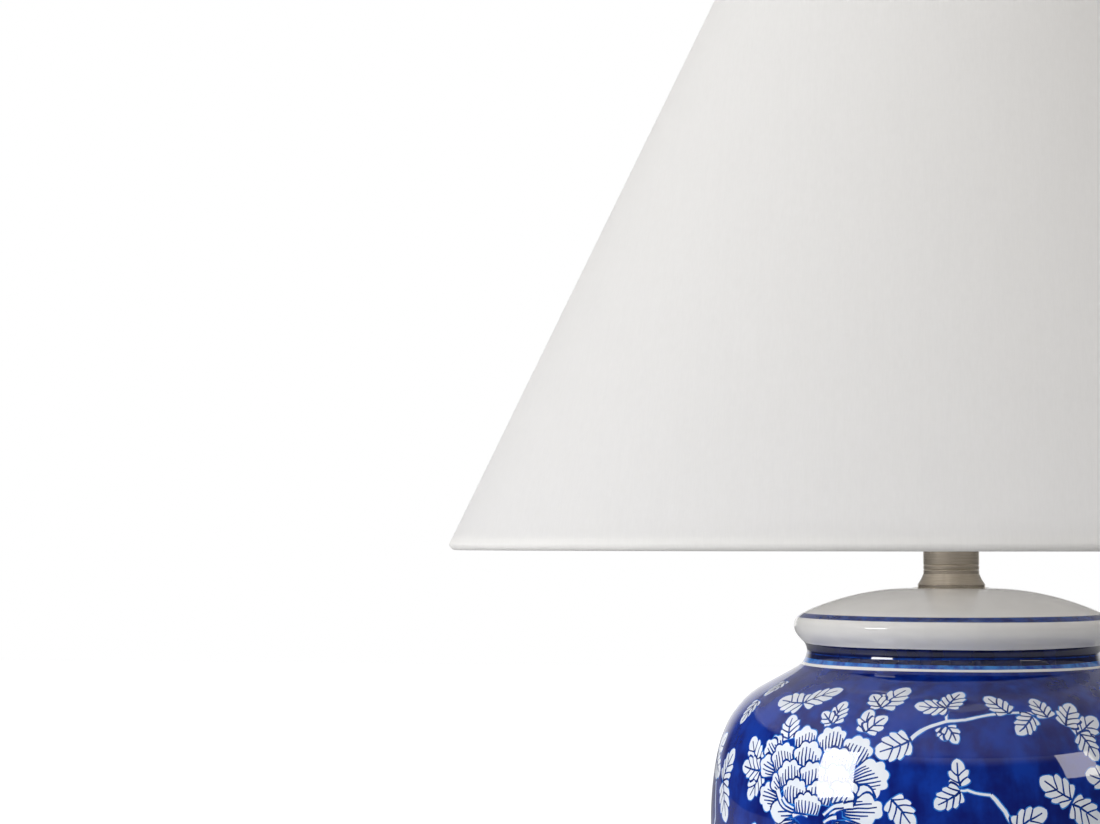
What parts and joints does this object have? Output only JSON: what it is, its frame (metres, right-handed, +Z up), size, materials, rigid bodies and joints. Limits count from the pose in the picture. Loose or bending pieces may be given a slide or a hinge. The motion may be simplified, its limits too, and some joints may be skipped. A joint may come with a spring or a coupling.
{
  "type": "ginger jar table lamp",
  "caption": "Blue and white glazed ginger jar lamp with a metal neck, harp, socket, bulb and a cone shade held by a finial.",
  "frame": {"origin": "centre of the felt pad's underside, on the table", "axes": "+Z up along the lamp's axis, -Y to the front where the switch points, +Y to the back where the cord leaves"},
  "size_m": [0.4572, 0.4571, 0.607],
  "materials": {
    "felt": "short-pile felt",
    "glaze": "glazed ceramic, cobalt and white under a clear gloss glaze",
    "rubber": "moulded rubber",
    "zinc_steel": "zinc-plated steel",
    "brushed_nickel": "brushed nickel, satin lacquer",
    "insulating_paper": "pressed fibre paper",
    "phenolic": "black moulded phenolic",
    "brass": "plain brass",
    "solder": "soldered contact",
    "base_glass": "black base glass",
    "bulb_cap": "rolled thread",
    "opal_glass": "white opal glass",
    "shade_linen": "off-white crepe linen",
    "shade_liner": "white styrene sheet",
    "white_wire": "white epoxy-coated wire"
  },
  "bodies": {
    "lamp": {"felt_pad": "felt", "jar": "glaze", "cord_grommet": "rubber", "floor_gasket": "rubber", "floor_washer": "zinc_steel", "bottom_nut": "zinc_steel", "threaded_rod": "zinc_steel", "neck_bushing": "zinc_steel", "neck_tube": "brushed_nickel", "check_ring": "brushed_nickel", "harp_saddle": "brushed_nickel", "harp": "brushed_nickel", "harp_stud": "brushed_nickel", "socket_cap": "brushed_nickel", "cap_set_screw": "zinc_steel", "socket_shell": "brushed_nickel", "socket_sleeve": "insulating_paper", "socket_carrier": "phenolic", "terminal_screws": "brass", "screw_shell": "brass", "centre_contact": "brass"},
    "ferrule_left": {"ferrule_left": "brushed_nickel"},
    "ferrule_right": {"ferrule_right": "brushed_nickel"},
    "switch": {"switch_stem": "zinc_steel", "switch_knob": "phenolic"},
    "bulb": {"bulb_contact": "solder", "bulb_insulator": "base_glass", "bulb_base": "bulb_cap", "bulb_glass": "opal_glass"},
    "shade": {"shade_fabric": "shade_linen", "shade_liner": "shade_liner", "shade_low_ring": "white_wire", "shade_top_ring": "white_wire", "spider": "white_wire"},
    "finial": {"finial": "brushed_nickel"}
  },
  "joints": [
    {"name": "ferrule_left_slide", "type": "slide", "parent": "lamp", "child": "ferrule_left", "axis": [0, 0, 1], "range_m": [0, 0.025]},
    {"name": "ferrule_right_slide", "type": "slide", "parent": "lamp", "child": "ferrule_right", "axis": [0, 0, 1], "range_m": [0, 0.025]},
    {"name": "switch_turn", "type": "hinge", "parent": "lamp", "child": "switch", "pos_m": [0, -0.02, 0.3494], "axis": [0, -1, 0], "continuous": true},
    {"name": "bulb_turn", "type": "hinge", "parent": "lamp", "child": "bulb", "pos_m": [0, 0, 0.38], "axis": [0, 0, 1], "range_deg": [0, 1260]},
    {"name": "shade_swivel", "type": "hinge", "parent": "lamp", "child": "shade", "pos_m": [0, 0, 0.5748], "axis": [0, 0, 1], "continuous": true},
    {"name": "finial_turn", "type": "hinge", "parent": "lamp", "child": "finial", "pos_m": [0, 0, 0.59], "axis": [0, 0, 1], "range_deg": [0, 4320]}
  ]
}
